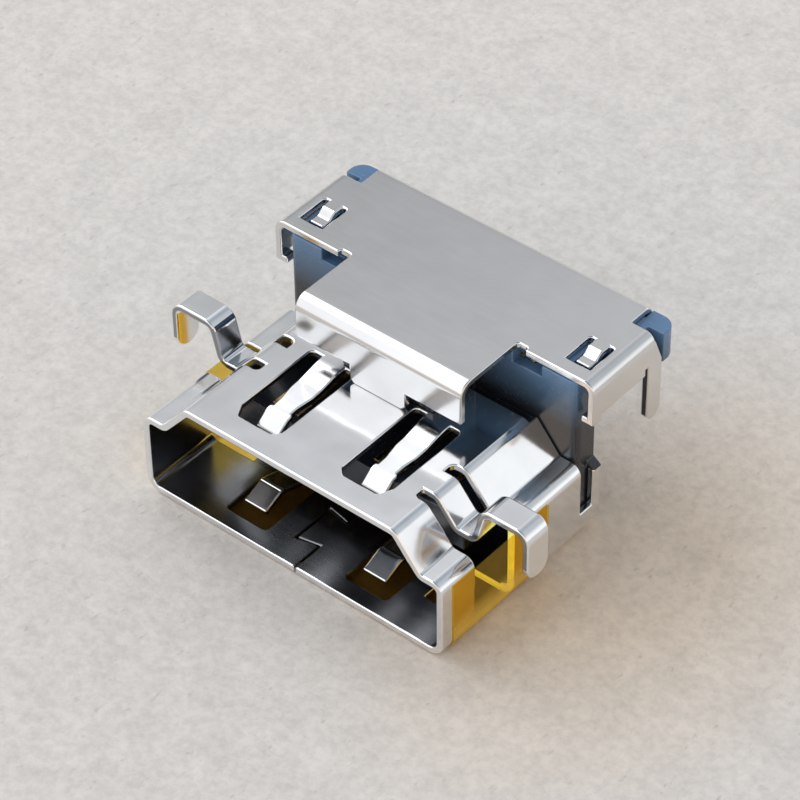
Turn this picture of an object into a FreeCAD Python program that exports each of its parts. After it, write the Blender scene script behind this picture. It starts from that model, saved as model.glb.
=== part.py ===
import FreeCAD, Part
import math
import os
import re

import Sketcher

# Board-mounted digital video socket, 19 contacts, sunk type: the shell hangs below the board's
# upper face and the rear block stands on that face.
# Millimetres. X runs across the mouth, Y runs from the mouth to the rear, Z is up.
# The origin is the middle of the mouth's lower front edge, on the shell's underside.

os.makedirs("parts", exist_ok=True)
doc = FreeCAD.newDocument("video_socket")
sizes = doc.addObject("Spreadsheet::Sheet", "Sizes")

DIMENSIONS = [
    # sheet metal
    ("sheet", "0.3", "thickness of the shell and cover sheet"),
    ("bend", "0.2", "inside radius of a sheet bend"),
    # mouth
    ("mouth_width", "14.0", "clear width of the opening at its floor"),
    ("mouth_height", "4.55", "clear height of the opening"),
    ("crown_width", "9.9", "clear width of the narrow upper flat"),
    ("side_height", "3.1", "clear height of the upright side walls"),
    ("slope_angle", "50", "fall of the slope from crown to shelf, degrees"),
    ("floor_corner", "0.35", "inside radius between floor and side wall"),
    # front shell lengths
    ("shelf_length", "8.15", "length of the shell's shelves and slopes"),
    ("crown_length", "7.7", "length of the shell's crown"),
    ("rear_gap", "0.7", "gap between each side wall and the lug behind it"),
    ("lug_length", "0.5", "length of that lug"),
    ("lug_height", "3.0", "height of the lug"),
    ("lug_root", "1.25", "height where the gap before the lug starts"),
    # seam in the floor
    ("seam_offset", "0.2", "seam's place across the floor"),
    ("seam_gap", "0.08", "width of the seam"),
    ("key_reach", "1.0", "reach of the dovetail key across the seam"),
    ("key_start", "1.5", "start of the key's neck"),
    ("key_neck", "1.5", "length of the key's neck"),
    ("key_flare", "0.2", "flare of the key at each end"),
    # spring fingers in the crown
    ("slot_inner", "1.45", "inner edge of a crown slot"),
    ("slot_width", "2.2", "width of a crown slot"),
    ("slot_front", "1.1", "front end of a crown slot"),
    ("slot_rear", "5.6", "rear end of a crown slot"),
    ("slot_cut", "0.3", "cut across the slot's front corners"),
    ("slot_round", "0.2", "corner radius of the slots and of the floor windows"),
    ("finger_width", "1.1", "width of a spring finger"),
    ("finger_root", "0.35", "flat run of a crown finger before it falls"),
    ("finger_ramp", "1.0", "length of a crown finger's first fall"),
    ("finger_ramp_fall", "0.22", "depth of that fall"),
    ("finger_curve", "1.6", "inside radius of the gentle bends in a finger"),
    ("finger_dip", "0.35", "fall of a crown finger to its bend"),
    ("finger_bend_at", "2.35", "place of a crown finger's bend"),
    ("finger_tip_at", "1.75", "place of a crown finger's tip"),
    ("finger_tip_fall", "0.45", "fall of a crown finger from bend to tip"),
    ("neck_width", "0.86", "width of a finger's neck"),
    ("neck_length", "0.7", "length of a finger's neck"),
    # spring fingers in the floor
    ("window_inner", "1.95", "inner edge of a floor window"),
    ("window_width", "2.0", "width of a floor window"),
    ("window_front", "0.8", "front end of a floor window"),
    ("window_rear", "5.0", "rear end of a floor window"),
    ("spring_rise", "0.72", "rise of a floor finger at its crest"),
    ("spring_crest", "2.3", "place of a floor finger's crest"),
    ("spring_tip", "1.3", "place of a floor finger's tip"),
    ("spring_tip_rise", "0.3", "height of a floor finger's tip above the underside"),
    # straps with solder legs at the sides
    ("strap_start", "2.4", "front edge of the right strap"),
    ("strap_width", "1.2", "width of a strap"),
    ("strap_stagger", "1.5", "how much further back the left strap stands"),
    ("strap_gap", "0.5", "gap before and behind a strap"),
    ("strap_inset", "0.5", "reach of the slits beside a strap into the crown"),
    ("strap_curve", "0.28", "inside radius of a strap's bends"),
    ("strap_foot", "0.35", "height of the strap's foot above the shelf"),
    ("riser_inset", "0.3", "foot of the strap's riser inside the side wall"),
    ("riser_lean", "0.4", "how far the riser leans outwards"),
    ("arm_level", "5.35", "underside of the arm, the board's upper face"),
    ("leg_distance", "2.0", "outer face of the solder leg beside the side wall"),
    ("leg_length", "2.05", "length of the solder leg below the arm"),
    ("leg_round", "0.58", "corner radius at the foot of a solder leg"),
    ("blank_reach", "2.4", "how far the strap's opening runs into the floor"),
    # rear cover
    ("cover_top", "7.84", "upper face of the cover"),
    ("cover_front", "5.1", "front face of the cover's apron"),
    ("cover_nose_width", "8.0", "width of the cover's narrow part"),
    ("cover_nose_bend", "0.3", "inside radius of the bend over the apron"),
    ("apron_level", "6.0", "lower edge of the apron beside its tab"),
    ("apron_tab_width", "2.7", "width of the tab that stands on the crown"),
    ("wing_reach", "0.4", "how far the cover's rear part stands out beside the shell"),
    ("wing_length", "5.1", "length of the cover's rear part"),
    ("step_setback", "0.05", "front edge of that part behind the shelves"),
    ("cover_side_level", "6.15", "lower edge of the cover's side walls"),
    ("corner_inset", "1.15", "width of a cut corner at the rear"),
    ("corner_depth", "1.35", "depth of a cut corner at the rear"),
    ("wall_setback", "0.9", "rear edge of the side walls before the cover's rear face"),
    ("relief_width", "0.5", "width of the relief in an inner corner of the cover"),
    ("relief_depth", "0.2", "depth of that relief"),
    ("rear_leg_width", "0.85", "width of a rear leg"),
    ("rear_leg_level", "3.7", "foot of a rear leg"),
    ("leg_notch", "0.16", "width of the notch in front of a rear leg"),
    ("latch_inset", "1.6", "inner side of a latch tongue beside the cover's edge"),
    ("latch_width", "0.66", "width of a latch tongue"),
    ("latch_slit", "0.24", "width of the slits beside a latch tongue"),
    ("latch_setback", "0.65", "front end of a latch cut behind the wing's front edge"),
    ("latch_length", "1.5", "length of a latch cut"),
    ("latch_flat", "0.45", "flat run of a latch tongue behind its fall"),
    ("latch_fall", "0.3", "length of that fall"),
    ("latch_gap", "0.3", "gap before a latch tongue"),
    ("latch_dip", "0.24", "depth of a latch tongue's fall"),
    ("hook_reach", "0.28", "reach of the hook under a wing"),
    ("hook_length", "0.55", "length of the hook under a wing"),
    # plastic housing
    ("fit", "0.02", "clearance between housing and sheet"),
    ("tongue_width", "11.1", "width of the tongue"),
    ("tongue_front", "3.4", "front end of the tongue"),
    ("tongue_level", "1.9", "lower face of the tongue"),
    ("tongue_thick", "1.5", "thickness of the tongue"),
    ("mouth_depth", "7.0", "rear wall of the mouth"),
    ("column_depth", "1.15", "depth of the housing's column behind the shelves"),
    ("hump_inset", "1.8", "room beside the block under the cover's narrow part"),
    ("hump_setback", "0.3", "room between the apron and that block"),
    ("wing_level", "6.15", "underside of the housing's rear block"),
    ("corner_round", "0.35", "rounding of the column's front corners"),
    ("rear_round", "0.6", "rounding of the housing's rear corners"),
    ("stand_inset", "0.68", "outer face of a standing rib inside the column's side"),
    ("stand_width", "1.2", "width of a standing rib"),
    ("stand_setback", "1.5", "front end of a standing rib behind the wing's front edge"),
    ("stand_length", "1.6", "length of a standing rib"),
    ("latch_pocket", "0.55", "depth of the pocket under a latch tongue"),
    ("latch_room", "0.05", "room beside a latch tongue in its pocket"),
    ("ledge_inset", "0.05", "inner end of a ledge inside the cover's narrow part"),
    ("ledge_width", "1.35", "width of the ledge beside the cover's narrow part"),
    ("ledge_depth", "0.6", "depth of that ledge"),
    ("ledge_fall", "0.5", "fall of that ledge below the roof"),
    ("barb_reach", "0.4", "reach of the barb above a side wall's lug"),
    ("barb_height", "0.3", "height of that barb"),
    # contacts
    ("contact_pitch", "1.0", "pitch of the contacts in one row"),
    ("lower_count", "10", "contacts in the lower row"),
    ("upper_count", "9", "contacts in the upper row"),
    ("contact_width", "0.28", "width of a contact"),
    ("contact_thick", "0.2", "thickness of a contact"),
    ("contact_bend", "0.12", "inside radius of the bend at a solder foot"),
    ("contact_fit", "0.01", "room beside a contact in its groove"),
    ("contact_proud", "0.05", "how far a contact stands out of the tongue"),
    ("contact_setback", "0.45", "tongue's nose in front of the contacts"),
    ("riser_setback", "0.5", "front face of a contact's riser behind the shelves"),
    ("bridge_level", "6.85", "underside of a contact's upper run"),
    ("tail_setback", "1.85", "front face of a contact's tail before the rear face"),
    ("foot_length", "1.15", "length of a contact's solder foot"),
    # tape
    ("tape_thick", "0.06", "thickness of the tape"),
    ("tape_front", "0.62", "front edge of the tape"),
    ("tape_rear", "6.1", "rear edge of the tape"),
    ("tape_level", "3.3", "upper edge of the tape on the side walls"),
]

for row, (alias, number, meaning) in enumerate(DIMENSIONS, 1):
    sizes.set("A%d" % row, meaning)
    sizes.set("B%d" % row, number)
    sizes.setAlias("B%d" % row, alias)
doc.recompute()

# Levels and half widths that several pieces share, then how far a cutting outline runs past
# what it cuts, and the middle of a quarter round as a share of its radius.
SHEET = "Sizes.sheet"
HALF = "Sizes.mouth_width / 2"
CEILING = "(Sizes.sheet + Sizes.mouth_height)"
SHELF = "(Sizes.sheet + Sizes.side_height)"
CROWN = "Sizes.crown_width / 2"
CROWN_TOP = "(2 * Sizes.sheet + Sizes.mouth_height)"
TILT = "(Sizes.slope_angle * 1 deg)"
SLOPE_RUN = "(Sizes.mouth_height - Sizes.side_height) / tan(%s)" % TILT
MITRE = "Sizes.sheet * tan(%s / 2)" % TILT
COVER_INSIDE = "(Sizes.cover_top - Sizes.sheet)"
FAR = "20"
OVER = "1"
QUARTER = "(1 - cos(45 deg))"

# Places that follow from the sizes. Everything behind the shelves moves with them.
PLACES = {
    "gap_rear": "Sizes.shelf_length + Sizes.rear_gap",
    "floor_end": "Places.gap_rear + Sizes.lug_length",
    "slot_middle": "Sizes.slot_inner + Sizes.slot_width / 2",
    "window_middle": "Sizes.window_inner + Sizes.window_width / 2",
    "strap_inner": CROWN + " - Sizes.strap_inset",
    "riser": HALF + " - Sizes.riser_inset",
    "arm_end": HALF + " + Sizes.sheet + Sizes.leg_distance",
    "arm_top": "Sizes.arm_level + Sizes.sheet",
    "leg_end": "Sizes.arm_level - Sizes.leg_length",
    "wing_side": HALF + " + Sizes.sheet + Sizes.wing_reach",
    "wing_front": "Sizes.shelf_length + Sizes.step_setback",
    "rear": "Places.wing_front + Sizes.wing_length",
    "corner_front": "Places.rear - Sizes.corner_depth",
    "corner_side": "Places.wing_side - Sizes.corner_inset",
    "wall_rear": "Places.rear - Sizes.wall_setback",
    "rear_leg_front": "Places.wall_rear - Sizes.rear_leg_width",
    "latch_inner": "Places.wing_side - Sizes.latch_inset",
    "latch_outer": "Places.latch_inner + Sizes.latch_width",
    "latch_front": "Places.wing_front + Sizes.latch_setback",
    "latch_root": "Places.latch_front + Sizes.latch_length",
    "column_side": HALF + " - Sizes.fit",
    "column_front": "Sizes.shelf_length + Sizes.fit",
    "column_rear": "Sizes.shelf_length + Sizes.column_depth",
    "column_foot": "Sizes.sheet + Sizes.fit",
    "roof": COVER_INSIDE + " - Sizes.fit",
    "rear_wall": "Places.rear - Sizes.sheet - Sizes.fit",
    "hump_front": "Sizes.cover_front + Sizes.sheet + Sizes.hump_setback",
    "hump_side": "Sizes.cover_nose_width / 2 - Sizes.hump_inset",
    "ledge_inner": "Sizes.cover_nose_width / 2 - Sizes.ledge_inset",
    "stand_inner": "Places.column_side - Sizes.stand_inset - Sizes.stand_width",
    "stand_start": "Places.wing_front + Sizes.stand_setback",
    "contact_start": "Sizes.tongue_front + Sizes.contact_setback",
    "contact_riser": "Sizes.shelf_length + Sizes.riser_setback",
    "tail": "Places.rear - Sizes.tail_setback",
    "tail_end": "Places.tail + Sizes.foot_length",
    "lower_run": "Sizes.tongue_level - Sizes.contact_proud",
    "upper_run": "Sizes.tongue_level + Sizes.tongue_thick + Sizes.contact_proud - Sizes.contact_thick",
}


def bind(item, size, expression):
    """Ties one size of a feature to the sheet, with each place spelled out."""
    while "Places." in expression:
        expression = re.sub(r"Places\.(\w+)", lambda found: "(%s)" % PLACES[found.group(1)], expression)
    item.setExpression(size, expression)


def new_body(label):
    body = doc.addObject("PartDesign::Body", label)
    body.Label = label
    return body


def origin_plane(body, role):
    for item in body.Origin.OriginFeatures:
        if item.Role == role:
            return item
    raise ValueError("no plane " + role)


def both_sides(right):
    # an outline's right half and the same corners on the left of the middle plane
    return right + [("-1 * (%s)" % across, up) for across, up in reversed(right)]


def rectangle(left, low, right, high):
    return [(left, low), (right, low), (right, high), (left, high)]


def draw(body, name, plane, loops, shift="0"):
    """Closed outlines on one of the body's own planes, each corner tied to the sheet."""
    sketch = body.newObject("Sketcher::SketchObject", name)
    sketch.AttachmentSupport = [(origin_plane(body, plane), "")]
    sketch.MapMode = "FlatFace"
    bind(sketch, "AttachmentOffset.Base.z", shift)
    first = 0
    for loop, corners in enumerate(loops):
        count = len(corners)
        ring = [FreeCAD.Vector((3 - loop) * math.cos(2 * math.pi * k / count),
                               (3 - loop) * math.sin(2 * math.pi * k / count), 0)
                for k in range(count)]
        for k in range(count):
            sketch.addGeometry(Part.LineSegment(ring[k], ring[(k + 1) % count]), False)
        for k in range(count):
            here = first + k
            after = first + (k + 1) % count
            sketch.addConstraint(Sketcher.Constraint("Coincident", here, 2, after, 1))
        for k, (across, up) in enumerate(corners):
            here = first + k
            number = sketch.addConstraint(
                Sketcher.Constraint("DistanceX", -1, 1, here, 1, ring[k].x))
            sketch.renameConstraint(number, "across%d" % here)
            bind(sketch, "Constraints.across%d" % here, across)
            number = sketch.addConstraint(
                Sketcher.Constraint("DistanceY", -1, 1, here, 1, ring[k].y))
            sketch.renameConstraint(number, "up%d" % here)
            bind(sketch, "Constraints.up%d" % here, up)
        first += count
    return sketch


def pad(body, sketch, name, length, backwards=False, both=False):
    feature = body.newObject("PartDesign::Pad", name)
    feature.Profile = sketch
    bind(feature, "Length", length)
    feature.Reversed = backwards
    if both:
        feature.SideType = "Symmetric"
    return feature


def cut(body, sketch, name, length, backwards=False, both=False):
    feature = body.newObject("PartDesign::Pocket", name)
    feature.Profile = sketch
    bind(feature, "Length", length)
    feature.Reversed = backwards
    if both:
        feature.SideType = "Symmetric"
    return feature


def mirror(body, name, features):
    feature = body.newObject("PartDesign::Mirrored", name)
    feature.Originals = features
    feature.MirrorPlane = (origin_plane(body, "YZ_Plane"), [""])
    body.Tip = feature
    return feature


def pattern(body, name, features, step, count):
    feature = body.newObject("PartDesign::LinearPattern", name)
    feature.Originals = features
    feature.Direction = (origin_plane(body, "X_Axis"), [""])
    feature.Mode = "Spacing"
    bind(feature, "Offset", step)
    bind(feature, "Occurrences", count)
    body.Tip = feature
    return feature


def edges_through(shape, spots, direction):
    """Names of the straight edges along a direction that reach or pass the given points."""
    names = []
    for number, edge in enumerate(shape.Edges, 1):
        if edge.Curve.TypeId != "Part::GeomLine":
            continue
        if abs(abs(edge.Curve.Direction.dot(direction)) - 1) > 1e-6:
            continue
        ends = [vertex.Point for vertex in edge.Vertexes]
        for spot in spots:
            away = (ends[0] - spot).cross(direction).Length
            before = (ends[0] - spot).dot(direction)
            after = (ends[1] - spot).dot(direction)
            if away < 1e-4 and before * after < 1e-6:
                names.append("Edge%d" % number)
                break
    return names


def bend(body, base, sketch, corners, radius, mirrored=False):
    """Rounds the edges that a sketch's corners leave along its normal."""
    doc.recompute()
    normal = sketch.Placement.Rotation.multVec(FreeCAD.Vector(0, 0, 1))
    spots = [sketch.Placement.multVec(sketch.Geometry[k].StartPoint) for k in corners]
    if mirrored:
        spots += [FreeCAD.Vector(-spot.x, spot.y, spot.z) for spot in spots]
    names = edges_through(base.Shape, spots, normal)
    if not names:
        raise ValueError("no edge to bend on " + base.Name)
    feature = body.newObject("PartDesign::Fillet", base.Name + "_bend")
    feature.Base = (base, names)
    bind(feature, "Radius", radius)
    return feature


def finish(body):
    doc.recompute()
    shape = body.Shape
    if shape.isNull() or not shape.isValid() or len(shape.Solids) != 1:
        raise ValueError("%s is not one sound solid" % body.Label)
    return body


# Front shell

def mouth_corners(grow):
    # opening's outline, left floor corner first, grown outwards by a wall
    wall = "(%s)" % grow
    lean = "(%s * tan(%s / 2))" % (wall, TILT)
    return both_sides([
        ("%s + %s" % (HALF, wall), "%s - %s" % (SHEET, wall)),
        ("%s + %s" % (HALF, wall), "%s + %s" % (SHELF, wall)),
        ("%s + %s + %s" % (CROWN, SLOPE_RUN, lean), "%s + %s" % (SHELF, wall)),
        ("%s + %s" % (CROWN, lean), "%s + %s" % (CEILING, wall)),
    ])


def bent_tube(body):
    outer = mouth_corners(SHEET)
    inner = mouth_corners("0")
    sketch = draw(body, "section", "XZ_Plane", [outer, inner])
    tube = pad(body, sketch, "tube", "Places.floor_end", backwards=True)
    outside = "Sizes.bend + Sizes.sheet"
    # floor corners, shelf corners and crown corners turn one way, the slope's feet the other
    last = bend(body, tube, sketch, [0, 7], "Sizes.floor_corner + Sizes.sheet")
    last = bend(body, last, sketch, [8, 15], "Sizes.floor_corner")
    last = bend(body, last, sketch, [1, 3, 4, 6, 10, 13], outside)
    last = bend(body, last, sketch, [9, 11, 12, 14, 2, 5], "Sizes.bend")
    return last


def open_rear(body):
    # crown and shelves end early, and a gap parts each side wall from the lug behind it
    side = draw(body, "rear_outline", "YZ_Plane", [[
        ("Sizes.shelf_length", "Sizes.lug_root"),
        ("Places.gap_rear", "Sizes.lug_root"),
        ("Places.gap_rear", "Sizes.lug_height"),
        (FAR, "Sizes.lug_height"),
        (FAR, FAR),
        ("Sizes.shelf_length", FAR),
    ]])
    cut(body, side, "rear_opening", "2 * " + FAR, both=True)
    reach = "%s + %s" % (CROWN, "Sizes.bend")
    top = draw(body, "crown_end_outline", "XY_Plane", [rectangle(
        "-1 * (%s)" % reach, "Sizes.crown_length", reach, FAR,
    )], CROWN_TOP)
    return cut(body, top, "crown_end", "Sizes.mouth_height / 2")


def cut_seam(body):
    here = "Sizes.seam_offset"
    side = "(Sizes.seam_offset - Sizes.seam_gap)"
    end = "(Sizes.seam_offset - Sizes.key_reach)"
    start = "Sizes.key_start"
    stop = "(Sizes.key_start + Sizes.key_neck)"
    seam = draw(body, "seam_line", "XY_Plane", [[
        (side, "-1 * " + OVER),
        (side, start + " - Sizes.seam_gap"),
        (end + " - Sizes.seam_gap", start + " - Sizes.key_flare - Sizes.seam_gap"),
        (end + " - Sizes.seam_gap", stop + " + Sizes.key_flare + Sizes.seam_gap"),
        (side, stop + " + Sizes.seam_gap"),
        (side, FAR),
        (here, FAR),
        (here, stop),
        (end, stop + " + Sizes.key_flare"),
        (end, start + " - Sizes.key_flare"),
        (here, start),
        (here, "-1 * " + OVER),
    ]])
    return cut(body, seam, "seam", "4 * Sizes.sheet", both=True)


def square_through(run, fall):
    """Steps that lead square through the sheet where it falls by this much over this run."""
    slant = "hypot(%s; %s)" % (run, fall)
    return "Sizes.sheet * %s / %s" % (fall, slant), "Sizes.sheet * %s / %s" % (run, slant)


def crown_fingers(body):
    """Slot, spring finger and its neck, drawn on the right."""
    outer = "Sizes.slot_inner + Sizes.slot_width"
    plan = draw(body, "crown_slot_outline", "XY_Plane", [[
        ("Sizes.slot_inner + Sizes.slot_cut", "Sizes.slot_front"),
        (outer + " - Sizes.slot_cut", "Sizes.slot_front"),
        (outer, "Sizes.slot_front + 2 * Sizes.slot_cut"),
        (outer, "Sizes.slot_rear"),
        ("Sizes.slot_inner", "Sizes.slot_rear"),
        ("Sizes.slot_inner", "Sizes.slot_front + Sizes.slot_cut"),
    ]], CROWN_TOP)
    slot = cut(body, plan, "crown_slot", "Sizes.mouth_height / 2")
    root = "Sizes.slot_rear + Sizes.sheet"
    ramp_top = "(Sizes.slot_rear - Sizes.finger_root)"
    ramp_end = "(%s - Sizes.finger_ramp)" % ramp_top
    low = CROWN_TOP + " - Sizes.finger_dip"
    tip = low + " - Sizes.finger_tip_fall"
    run = "(Sizes.finger_bend_at - Sizes.finger_tip_at)"
    back, down = square_through(run, "Sizes.finger_tip_fall")
    inner_bend = "Sizes.sheet * tan(atan(Sizes.finger_tip_fall / %s) / 2)" % run
    profile = draw(body, "crown_finger_side", "YZ_Plane", [[
        (root, CROWN_TOP),
        (ramp_top, CROWN_TOP),
        (ramp_end, CROWN_TOP + " - Sizes.finger_ramp_fall"),
        ("Sizes.finger_bend_at", low),
        ("Sizes.finger_tip_at", tip),
        ("Sizes.finger_tip_at + " + back, tip + " - " + down),
        ("Sizes.finger_bend_at + " + inner_bend, low + " - Sizes.sheet"),
        (ramp_end, CEILING + " - Sizes.finger_ramp_fall"),
        (ramp_top, CEILING),
        (root, CEILING),
    ]], "Places.slot_middle")
    finger = pad(body, profile, "crown_finger", "Sizes.finger_width", both=True)
    neck_end = "(Sizes.finger_bend_at + Sizes.neck_length)"
    bites = []
    for way in ("+", "-"):
        wide = "Places.slot_middle %s Sizes.finger_width" % way
        edge = "Places.slot_middle %s Sizes.finger_width / 2" % way
        neck = "Places.slot_middle %s Sizes.neck_width / 2" % way
        bites.append([
            (wide, "Sizes.finger_bend_at"),
            (neck, "Sizes.finger_bend_at + Sizes.sheet"),
            (neck, neck_end),
            (edge, neck_end + " + Sizes.neck_length"),
            (wide, neck_end + " + Sizes.neck_length"),
        ])
    notch = draw(body, "finger_neck_outline", "XY_Plane", bites, CROWN_TOP)
    neck = cut(body, notch, "finger_neck", "Sizes.mouth_height / 2")
    return plan, profile, [slot, finger, neck]


def floor_fingers(body):
    """Window and spring finger in the floor, drawn on the right."""
    plan = draw(body, "floor_window_outline", "XY_Plane", [rectangle(
        "Sizes.window_inner", "Sizes.window_front",
        "Sizes.window_inner + Sizes.window_width", "Sizes.window_rear",
    )])
    window = cut(body, plan, "floor_window", "Sizes.mouth_height / 2", both=True)
    back, down = square_through("(Sizes.spring_crest - Sizes.spring_tip)",
                                "(Sizes.spring_rise - Sizes.spring_tip_rise)")
    top = "Sizes.spring_tip_rise + Sizes.sheet"
    profile = draw(body, "floor_finger_side", "YZ_Plane", [[
        ("Sizes.window_rear + Sizes.sheet", "0"),
        ("Sizes.window_rear + Sizes.sheet", SHEET),
        ("Sizes.window_rear - Sizes.finger_root", SHEET),
        ("Sizes.spring_crest", "Sizes.spring_rise + Sizes.sheet"),
        ("Sizes.spring_tip", top),
        ("Sizes.spring_tip + " + back, "%s - %s" % (top, down)),
        ("Sizes.spring_crest", "Sizes.spring_rise"),
        ("Sizes.window_rear - Sizes.finger_root", "0"),
    ]], "Places.window_middle")
    finger = pad(body, profile, "floor_finger", "Sizes.finger_width", both=True)
    return plan, profile, [window, finger]


def side_strap(body, name, way, start):
    """Opening in one side and the strap, arm and solder leg that were cut from it."""
    def at(across, up):
        return ("%s * (%s)" % (way, across), up)

    front = start + " - Sizes.strap_gap"
    rear = start + " + Sizes.strap_width + Sizes.strap_gap"
    beyond = "%s + %s" % (HALF, OVER)
    upper = draw(body, name + "_slits", "XY_Plane", [[
        at("Places.strap_inner", front),
        at(beyond, front),
        at(beyond, rear),
        at("Places.strap_inner", rear),
    ]], CROWN_TOP)
    opening = cut(body, upper, name + "_upper_opening", CROWN_TOP + " / 2")
    bend(body, opening, upper, [0, 3], "Sizes.strap_gap / 2")
    blank = "%s + Sizes.sheet - Sizes.blank_reach" % HALF
    lower = draw(body, name + "_blank", "XY_Plane", [[
        at(blank, front),
        at(beyond, front),
        at(beyond, rear),
        at(blank, rear),
    ]], CROWN_TOP + " / 2")
    cut(body, lower, name + "_lower_opening", CROWN_TOP)
    foot = "(%s + Sizes.strap_foot)" % SHELF
    drop = "(%s - %s) / tan(%s)" % (CEILING, foot, TILT)
    root = "Places.strap_inner - Sizes.sheet"
    # the riser leans: its faces gain this much run for each sheet thickness that they climb
    rise = "(Sizes.arm_level - %s)" % foot
    step = "Sizes.sheet * Sizes.riser_lean / " + rise
    wall = "Sizes.sheet * hypot(Sizes.riser_lean; %s) / %s" % (rise, rise)
    profile = draw(body, name + "_profile", "XZ_Plane", [[
        at(root, CROWN_TOP),
        at("%s + %s" % (CROWN, MITRE), CROWN_TOP),
        at("%s + %s + %s" % (CROWN, MITRE, drop), foot + " + Sizes.sheet"),
        at("Places.riser", foot + " + Sizes.sheet"),
        at("Places.riser + Sizes.riser_lean", "Places.arm_top"),
        at("Places.arm_end", "Places.arm_top"),
        at("Places.arm_end", "Places.leg_end"),
        at("Places.arm_end - Sizes.sheet", "Places.leg_end"),
        at("Places.arm_end - Sizes.sheet", "Sizes.arm_level"),
        at("Places.riser + Sizes.riser_lean + %s - %s" % (wall, step), "Sizes.arm_level"),
        at("Places.riser + %s - %s" % (wall, step), foot),
        at("%s + %s" % (CROWN, drop), foot),
        at(CROWN, CEILING),
        at(root, CEILING),
    ]], "-1 * (%s)" % start)
    strap = pad(body, profile, name, "Sizes.strap_width", backwards=True)
    last = bend(body, strap, profile, [1], "Sizes.bend + Sizes.sheet")
    last = bend(body, last, profile, [12], "Sizes.bend")
    last = bend(body, last, profile, [4, 5, 10, 11], "Sizes.strap_curve + Sizes.sheet")
    last = bend(body, last, profile, [2, 3, 8, 9], "Sizes.strap_curve")
    return round_leg(body, last, profile, name)


def round_leg(body, base, profile, name):
    # the foot of the solder leg is rounded across the strap's width
    doc.recompute()
    front = profile.Placement.multVec(profile.Geometry[6].StartPoint)
    rear = front + FreeCAD.Vector(0, float(sizes.strap_width), 0)
    feature = body.newObject("PartDesign::Fillet", name + "_leg_round")
    feature.Base = (base, edges_through(base.Shape, [front, rear], FreeCAD.Vector(1, 0, 0)))
    bind(feature, "Radius", "Sizes.leg_round")
    return feature


def make_front_shell():
    body = new_body("front_shell")
    bent_tube(body)
    open_rear(body)
    cut_seam(body)
    side_strap(body, "right_strap", "1", "Sizes.strap_start")
    side_strap(body, "left_strap", "-1", "Sizes.strap_start + Sizes.strap_stagger")
    slot_plan, crown_profile, crown_cuts = crown_fingers(body)
    mirror(body, "crown_pair", crown_cuts)
    window_plan, floor_profile, floor_cuts = floor_fingers(body)
    last = mirror(body, "floor_pair", floor_cuts)
    gentle = "Sizes.finger_curve"
    last = bend(body, last, slot_plan, [0, 1, 2, 3, 4, 5], "Sizes.slot_round", mirrored=True)
    last = bend(body, last, window_plan, [0, 1], "Sizes.slot_round", mirrored=True)
    last = bend(body, last, crown_profile, [1, 7], gentle + " + Sizes.sheet", mirrored=True)
    last = bend(body, last, crown_profile, [2, 8], gentle, mirrored=True)
    last = bend(body, last, crown_profile, [3], "Sizes.bend + Sizes.sheet", mirrored=True)
    last = bend(body, last, crown_profile, [6], "Sizes.bend", mirrored=True)
    last = bend(body, last, floor_profile, [3], "Sizes.bend + Sizes.sheet", mirrored=True)
    last = bend(body, last, floor_profile, [6], "Sizes.bend", mirrored=True)
    return finish(body)


# Rear cover

def cover_spine(body):
    # top, apron, and rear wall in one bent strip, with the tab that stands on the crown
    inner_front = "Sizes.cover_front + Sizes.sheet"
    inner_rear = "Places.rear - Sizes.sheet"
    side = draw(body, "spine_side", "YZ_Plane", [[
        ("Sizes.cover_front", "Sizes.apron_level"),
        ("Sizes.cover_front", "Sizes.cover_top"),
        ("Places.wing_front + " + OVER, "Sizes.cover_top"),
        ("Places.wing_front + " + OVER, COVER_INSIDE),
        (inner_front, COVER_INSIDE),
        (inner_front, "Sizes.apron_level"),
    ]])
    nose = pad(body, side, "nose", "Sizes.cover_nose_width", both=True)
    last = bend(body, nose, side, [1], "Sizes.cover_nose_bend + Sizes.sheet")
    bend(body, last, side, [4], "Sizes.cover_nose_bend")
    rear = draw(body, "rear_side", "YZ_Plane", [[
        ("Places.wing_front", "Sizes.cover_top"),
        ("Places.rear", "Sizes.cover_top"),
        ("Places.rear", "Sizes.cover_side_level"),
        (inner_rear, "Sizes.cover_side_level"),
        (inner_rear, COVER_INSIDE),
        ("Places.wing_front", COVER_INSIDE),
    ]])
    back = pad(body, rear, "back", "2 * Places.corner_side", both=True)
    last = bend(body, back, rear, [1], "Sizes.bend + Sizes.sheet")
    return bend(body, last, rear, [4], "Sizes.bend")


def cover_wings(body):
    wide = "Places.wing_side"
    inside = "(Places.wing_side - Sizes.sheet)"
    corners = both_sides([
        (wide, "Sizes.cover_top"),
        (wide, "Sizes.cover_side_level"),
        (inside, "Sizes.cover_side_level"),
        (inside, COVER_INSIDE),
    ])
    section = draw(body, "wing_section", "XZ_Plane", [corners], "-1 * Places.wing_front")
    length = "Places.wall_rear - Places.wing_front"
    wings = pad(body, section, "wings", length, backwards=True)
    last = bend(body, wings, section, [0, 7], "Sizes.bend + Sizes.sheet")
    return bend(body, last, section, [3, 4], "Sizes.bend")


def cover_corners(body):
    # corners cut away at the rear, sloping down the side walls
    corner = draw(body, "corner_outline", "YZ_Plane", [[
        ("Places.corner_front", "Sizes.cover_top + " + OVER),
        ("Places.corner_front", "Sizes.cover_top - Sizes.sheet"),
        ("Places.wall_rear", "Sizes.cover_side_level + Sizes.sheet"),
        (FAR, "Sizes.cover_side_level + Sizes.sheet"),
        (FAR, "Sizes.cover_top + " + OVER),
    ]], "Places.corner_side")
    return cut(body, corner, "corner_cut", FAR, backwards=True)


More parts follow.
